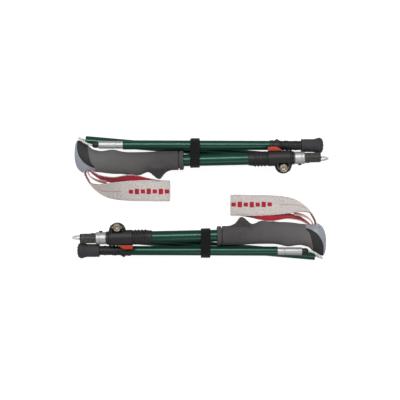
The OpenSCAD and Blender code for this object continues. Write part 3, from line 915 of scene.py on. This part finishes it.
def grip_skin(name, material, sides=144):
    rings = smooth_rows(grip_rows, 10)
    stations = np.arange(rings[0, 0] + 0.4, rings[-1, 0], 0.55)
    fine = np.array([np.interp(stations, rings[:, 0], rings[:, c]) for c in range(4)]).T
    fine = np.vstack((rings[:6], fine[stations > rings[5, 0]], rings[-1:]))
    points = []
    for x, rear, front, half in fine:
        bump = np.clip(min(x - bump_from, bump_to - x) / 3, 0, 1)
        for a in whole_turn(sides):
            y = (rear + front) / 2 + (rear - front) / 2 * math.cos(a)
            z = half * math.sin(a)
            on_front = np.clip((-math.cos(a) - 0.1) / 0.35, 0, 1) * bump
            rib = rib_depth * on_front * math.sin(2 * math.pi * (x + 0.55 * y) / rib_pitch)
            points.append(upper.at(x, y - rib * abs(math.cos(a)), z + rib * math.sin(a)))
    return settle(new_piece(name, points, ring_faces(len(fine), sides), material))


def cut(piece, operation, tool):
    tool.hide_set(True)
    boolean = piece.modifiers.new("cut", "BOOLEAN")
    boolean.operation, boolean.solver, boolean.object = operation, "MANIFOLD", tool
    return baked(piece)


# %% Cut the skin into core, cap and foam
gap = 0.14
seam = [(-158, -40), (-158, -9), (-163, -1), (-168.4, 21), (-171, 40)]
core_centre, core_r = (-150, 24), 34


def cutter(name, outline):
    return settle(prism(name, outline, -30, 30, black_nylon))


def head_region(shift):
    bend = smooth_rows(seam, 6)
    return cutter("head_region", [(-230, 40), (-230, -40)] + [(x + shift, y) for x, y in bend])


def core_region(shift):
    (cx, cy), r = core_centre, core_r + shift
    sweep = np.radians(np.linspace(180, 330, 60))
    arc = [(cx + r * math.cos(a), cy + r * math.sin(a)) for a in sweep]
    return cutter("core_region", arc + [(cx + 60, 60), (cx - r, 60)])


tube_r = upper.span("upper_tube_1")[2] + 0.02
tube_cut = turned("tube_cut", upper, [(-172, 0), (-172, tube_r), (-10, tube_r), (-10, 0)], black_nylon, 0)
behind, ahead = head_region(gap), head_region(-gap)
inside, outside = core_region(0), core_region(gap)
grip = grip_skin("foam_grip_1", foam.material)
core = placed("grip_core_1", grip.data.copy())
cap = placed("grip_cap_1", grip.data.copy())
cuts = ((grip, foam.material, (("DIFFERENCE", behind), ("DIFFERENCE", tube_cut))),
        (core, inlay_rubber, (("INTERSECT", ahead), ("INTERSECT", inside), ("DIFFERENCE", tube_cut))),
        (cap, cap_plastic, (("INTERSECT", ahead), ("DIFFERENCE", outside), ("DIFFERENCE", tube_cut))))
for piece, finish, steps in cuts:
    for operation, tool in steps:
        cut(piece, operation, tool)
    piece.data.materials.clear()
    piece.data.materials.append(finish)
    piece.data.polygons.foreach_set("material_index", [0] * len(piece.data.polygons))
    settle(piece, 32)
for tool in (behind, ahead, inside, outside, tube_cut):
    bpy.data.objects.remove(tool)
for half in install(grip, "grip", "foam", "grip_foam"):
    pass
install(core, "grip", "dark_plastic", "head_core")
install(cap, "grip", "cap_plastic", "head_cap")

x0, x1, r = upper.span("grip_ring_1")
neck = x0 - 1.7
ring_outline = [(neck, r - 3.2)] + stepped(x0, r, (0, -3), (0, -1.4), (0.8, -0.4), (2, 0))
ring_outline += stepped(x1, r, (-2, 0), (-0.8, -0.4), (0, -1.4)) + [(x1, 9.05), (neck, 9.05)]
ring = turned("foam_ring_1", upper, ring_outline, foam.material, 0.5)
for half in install(ring, "grip", "foam", "grip_ring"):
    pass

# %% [markdown]
# ## The wrist strap
# The strap is a flat padded band: grey outside and red inside. It leaves the head on
# edge, turns flat along the pole, folds over at its far end and comes back to the head.
# Flat webbing is modelled straight from its route. `Band` holds that route, with the
# direction of its width and of its outer face, and both cloths are swept along it.

# %% A band along a route
class Band:
    def __init__(self, rows, steps=10):
        """Rows are [x, y, z, width, tilt] in mm; tilt turns the width from +Y to +Z."""
        dense = smooth_rows(rows, steps)
        self.line = dense[:, :3]
        self.half = dense[:, 3] / 2
        tilt = np.radians(dense[:, 4])
        self.width = np.stack((0 * tilt, np.cos(tilt), np.sin(tilt)), 1)
        along = unit_rows(np.gradient(self.line, axis=0))
        self.face = unit_rows(np.cross(along, self.width))
        self.length = run_lengths(self.line)

    def point(self, s, across, lift):
        """The place `s` along, `across` of the centre line and `lift` above it, in mm."""
        at = lambda values: np.array([np.interp(s, self.length, values[:, c]) for c in range(3)])
        return at(self.line) + across * at(self.width) + lift * at(self.face)

    def cloth(self, name, material, low, high, inset, puff=0.0, cells=18):
        """A cloth from `low` to `high` off the centre line, `inset` from each edge."""
        mean, thick = (low + high) / 2, (high - low) / 2
        share = np.linspace(-1, 1, cells + 1)
        swell = np.sqrt(np.clip(1 - share ** 10, 0, 1))
        ring = [(a, mean + thick * e + puff * (1 - a * a)) for a, e in zip(share, swell)]
        ring += [(a, mean - thick * e) for a, e in zip(share[-2:0:-1], swell[-2:0:-1])]
        points, flat = [], []
        for i, s in enumerate(self.length):
            reach = self.half[i] - inset
            for a, lift in ring:
                points.append((self.line[i] + a * reach * self.width[i] + lift * self.face[i]) * MM)
                flat.append((s * MM, a * reach * MM))
        faces = ring_faces(len(self.length), len(ring))
        return settle(new_piece(name, points, faces, material, flat), 50)


# %% Strap routes
strap_rows = [
    (-174, 42, 14.5, 13, 90), (-173, 35, 14.5, 14, 90), (-169.5, 28, 14.5, 16, 88),
    (-165.5, 21.5, 14.3, 19, 82), (-160, 17.2, 14, 22, 70), (-151, 13.2, 13.4, 27, 57),
    (-140, 11.2, 13.4, 31, 47), (-128, 10.8, 12, 32, 36), (-114, 10.8, 11.6, 32, 25),
    (-98, 11, 11.8, 32, 15), (-80, 11.2, 12.2, 32, 6), (-62, 10.8, 12.4, 32, 0),
    (-51, 10.8, 11.2, 32, 0), (-46.6, 10.8, 7.2, 32, 0), (-51, 11, 3, 32, 0),
    (-62, 11.4, 2.2, 32, 0), (-76, 14, 5.2, 32, 10), (-90, 18.6, 9.2, 32, 27),
    (-104, 23, 12.8, 32, 42), (-117, 25, 14, 29, 56), (-130, 26.6, 14.4, 22, 66),
    (-143, 28.8, 14.5, 18, 68), (-153, 32.2, 14.5, 15, 70), (-161, 37.4, 14.5, 13, 74),
    (-166, 41.5, 14.5, 13, 80)]
tail_rows = [
    (-170.2, 41, 14.5, 12.5, 88), (-166.5, 33.6, 14.5, 14, 84), (-159, 28, 14.5, 16, 80),
    (-150, 25, 14.4, 16, 76), (-141, 23.4, 14, 16, 72)]
strap, tail = Band(strap_rows), Band(tail_rows)
half_thick, strap_puff, strap_half = 1.3, 0.35, 16
outer = strap.cloth("strap_webbing_1", webbing, -0.15, half_thick - 0.15, 0, strap_puff)
inner = strap.cloth("strap_lining_1", lining, -half_thick, -0.2, 0.7)
loose = tail.cloth("strap_tail_1", webbing, -0.8, 0.8, 0)


# %% Printed blocks on the strap
print_thick = 0.12


def patch(name, band, s0, s1, a0, a1, lift, material, cells=8):
    """A thin raised print on the band's outer face, with clipped corners."""
    clip = min(s1 - s0, a1 - a0) * 0.16
    points, flat = [], []
    for level in (lift, lift + print_thick):
        for i in range(cells + 1):
            s = s0 + (s1 - s0) * i / cells
            trim = clip if i in (0, cells) else 0
            for a in (a0 + trim, (a0 + a1) / 2, a1 - trim):
                puff = strap_puff * (1 - (a / strap_half) ** 2)
                points.append(band.point(s, a, level + puff) * MM)
                flat.append((s * MM, a * MM))
    n, layer = 3, 3 * (cells + 1)
    faces = []
    for i in range(cells):
        for k in range(2):
            q = (i * n + k, i * n + k + 1, (i + 1) * n + k + 1, (i + 1) * n + k)
            faces += [q[::-1], tuple(layer + v for v in q)]
    near, far = [i * n for i in range(cells + 1)], [i * n + 2 for i in range(cells, -1, -1)]
    rim = near + [cells * n + 1] + far + [1]
    faces += [(a, b, layer + b, layer + a) for a, b in zip(rim, rim[1:] + rim[:1])]
    return settle(new_piece(name, points, faces, material, flat), 50)


turn_s = float(strap.length[np.argmax(strap.line[:, 0])])
print("strap runs", round(float(strap.length[-1])), "mm, and turns at", round(turn_s))
print_end, block, space, blocks = turn_s - 2.6, 6.6, 2.4, 7
prints = []
for k in range(blocks):
    s1 = print_end - k * (block + space)
    tall = 4.3 if k % 2 else 3.1
    prints.append(patch(f"print_{k}", strap, s1 - block, s1, -1 - tall, -1 + tall,
                        half_thick - 0.17, red_print))
printed = settle(joined("strap_print_1", *prints), 50)

# %% [markdown]
# Stitches run along both edges of the strap, and a line of red thread holds the pad.
# Geometry Nodes put a small capsule at every stitch: a guide line is resampled at the
# stitch spacing, and each capsule turns to follow the line.

# %% A run of stitches
sewing = Nodes("stitch_run", Spacing="Float", Length="Float", Thick="Float", Thread="Material")
spacing, length, thick, yarn = sewing.given()
run = sewing.add("GeometryNodeMeshToCurve", Mesh=sewing.guide)
even = sewing.add("GeometryNodeResampleCurve", {"mode": "LENGTH"}, Curve=run, Length=spacing)
heading = sewing.add("GeometryNodeInputTangent")
facing = sewing.add("FunctionNodeAlignRotationToVector", {"axis": "X"}, Vector=heading)
capsule = sewing.add("GeometryNodeMeshUVSphere", Segments=6, Rings=5, Radius=0.5)
sewing.copies(even, capsule, facing, sewing.combine(length, thick, thick), yarn)


def stitches(name, points, material, spacing=3.0, length=2.1, thick=0.55):
    guide = bpy.data.meshes.new(name + "_guide")
    guide.from_pydata([tuple(p) for p in points], [(i, i + 1) for i in range(len(points) - 1)], [])
    return sewing.grow(name, guide, Spacing=spacing, Length=length, Thick=thick, Thread=material)


def strap_line(s0, s1, across, lift, count=120):
    at = np.linspace(s0, s1, count)
    half = np.interp(at, strap.length, strap.half)
    return [strap.point(s, np.sign(across) * (h - abs(across)) if across else 0.0, lift) * MM
            for s, h in zip(at, half)]


end_s = float(strap.length[-1])
seam_start, pad_start, pad_end, edge_inset = 14, 30, turn_s - 76, 1.9
seams = []
for letter, inset in (("a", edge_inset), ("b", -edge_inset)):
    edge_line = strap_line(seam_start, end_s - seam_start, inset, half_thick - 0.02)
    seams.append(stitches(f"edge_stitches_{letter}_1", edge_line, thread))
pad_line = strap_line(pad_start, pad_end, 0, half_thick + 0.2)
seams.append(stitches("pad_stitches_1", pad_line, red_print, 2.6, 2.3, 0.95))
for piece in seams + [printed, inner]:
    install(piece, "grip", "webbing")
both = install(outer, "grip", "webbing", "wrist_strap")
for n, half in zip(POLES, install(loose, "grip", "webbing")):
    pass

# %% [markdown]
# ## The tie
# A hook-and-loop tie holds the folded sections. Pulled tight it takes the shape of a
# rubber band round three rods: the convex hull of three circles. That outline is found
# from the section axes and a flat strip is swept round it, with its tongue lapped over.

# %% Tie outline and strip
rods = [(upper, upper.span("upper_tube_1")[2]), (middle, middle.span("middle_tube_1")[2]),
        (lower, lower.span("lower_tube_1")[2])]


def tie_outline(x, grow, count=160):
    """The hull round the three tubes at place x, as evenly spaced (y, z) points in mm."""
    dots = []
    for section, r in rods:
        axis = section.matrix.to_3x3() @ Vector((1, 0, 0))
        centre = section.matrix.translation / MM + axis * (x / axis.x)
        dots += [(centre.y + (r + grow) * math.cos(a), centre.z + (r + grow) * math.sin(a))
                 for a in whole_turn(90)]
    dots = sorted(dots)

    def turns_left(a, b, c):
        return (b[0] - a[0]) * (c[1] - a[1]) - (b[1] - a[1]) * (c[0] - a[0]) > 0

    def chain(run):
        hull = []
        for p in run:
            while len(hull) > 1 and not turns_left(hull[-2], hull[-1], p):
                hull.pop()
            hull.append(p)
        return hull[:-1]

    loop = np.array(chain(dots) + chain(dots[::-1]))
    loop = np.vstack((loop, loop[:1]))
    s = run_lengths(loop)
    even = np.linspace(0, s[-1], count, False)
    return np.stack([np.interp(even, s, loop[:, c]) for c in (0, 1)], 1), s[-1]


def tie_strip(name, x_mid, half, low, high, part=(0.0, 1.0), count=160):
    """A strip round the tubes from `low` to `high` above them; part of a turn stays open."""
    ring = [(-1, low + 0.3), (-0.92, low), (0.92, low), (1, low + 0.3), (1, high - 0.4), (0.9, high),
            (0.45, high), (0, high), (-0.45, high), (-0.9, high), (-1, high - 0.4)]
    loops = [tie_outline(x_mid + a * half, lift, count)[0] for a, lift in ring]
    steps = range(int(part[0] * count), int(part[1] * count))
    pressed = lambda z, lift: max(z, 0.02 + 0.1 * (high - lift))
    points = [((x_mid + a * half) * MM, loop[k][0] * MM, pressed(loop[k][1], lift) * MM)
              for k in steps for (a, lift), loop in zip(ring, loops)]
    faces = ring_faces(len(steps), len(ring), closed=len(steps) == count)
    return settle(new_piece(name, points, faces, hook_loop.material), 50)


tie_x, tie_half = -8.0, 7.2
round_tie = tie_outline(tie_x, 1)[1]
strip = tie_strip("tie_strip_1", tie_x, tie_half, 0.9, 2.5)
tongue = tie_strip("tie_tongue_1", tie_x + 0.4, tie_half - 0.5, 2.52, 3.5, (0.42, 0.78))
near_side = upper.at(tie_x, 0) - Vector((0, 0.0125, 0))
for piece, flat_length, nodes in ((strip, round_tie, ("bundle_tie",)), (tongue, 0.36 * round_tie, ())):
    for n, half in zip(POLES, install(piece, "grip", "tie_fabric", *nodes)):
        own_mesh(half)

# %% [markdown]
# ## The cord
# One coated cord runs through all three sections, and shows where it bends from one
# joint to the next. It is a round tube swept along the route that its CAD solid takes.
# When the pole is unfolded the cord goes back inside.

# %% Cord bends
cord_r = 1.5
upper_route = [
    (179.1, 60.6, 29.1), (183, 60.7, 29.3), (188.2, 60.3, 27), (190.9, 59.5, 22.2),
    (191, 58.7, 16.4), (188.8, 57.9, 11), (184, 57.3, 7.8), (177, 56.9, 7), (168.6, 57, 7)]
lower_route = [
    (-120.6, 82.3, 7), (-145, 84.5, 7), (-171, 87, 7), (-176, 87.9, 7.2), (-180.4, 89.4, 8.6),
    (-182.8, 90.6, 12.4), (-182.2, 89.8, 17.4), (-179, 87, 21.6), (-174.2, 83.6, 23.2),
    (-169, 80.9, 22.8), (-166, 80, 22.4), (-163.1, 79.8, 22.3)]


def swept(name, route, radius, material, steps=6, sides=20):
    line = smooth_rows(route, steps)
    s = run_lengths(line)
    along = unit_rows(np.gradient(line, axis=0))
    u = unit_rows(np.cross(along, (0.1, 1, 0.05)))
    v = np.cross(along, u)
    points, flat = [], []
    for i in range(len(line)):
        for k, a in enumerate(whole_turn(sides)):
            points.append((line[i] + radius * (math.cos(a) * u[i] + math.sin(a) * v[i])) * MM)
            flat.append((s[i] * MM, 2 * math.pi * radius * MM * min(k, sides - k) * 2 / sides))
    piece = new_piece(name, points, ring_faces(len(line), sides), material, flat)
    return settle(piece, 50), line * MM, float(s[-1]) * MM


bends = (("upper_cord_bend_1", upper_route, "socket", "upper_cord_loop", upper, (178, 0.06)),
         ("lower_cord_bend_1", lower_route, "cord_turn", "lower_cord_loop", middle, (-150, 0.06)))
for name, route, body, node, section, (anchor_x, keep) in bends:
    piece, line, length = swept(name, route, cord_r, braid.material)
    across = Vector(line[0] - line[-1]) if body == "socket" else Vector(line[-1] - line[2 * 6])
    axis = section.matrix.to_3x3() @ Vector((1, 0, 0))
    across -= axis * across.dot(axis)
    anchor = section.at(anchor_x)
    for n, half in zip(POLES, install(piece, body, "cord", node)):
        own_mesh(half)
    print(name, round(length / MM, 1), "mm long")
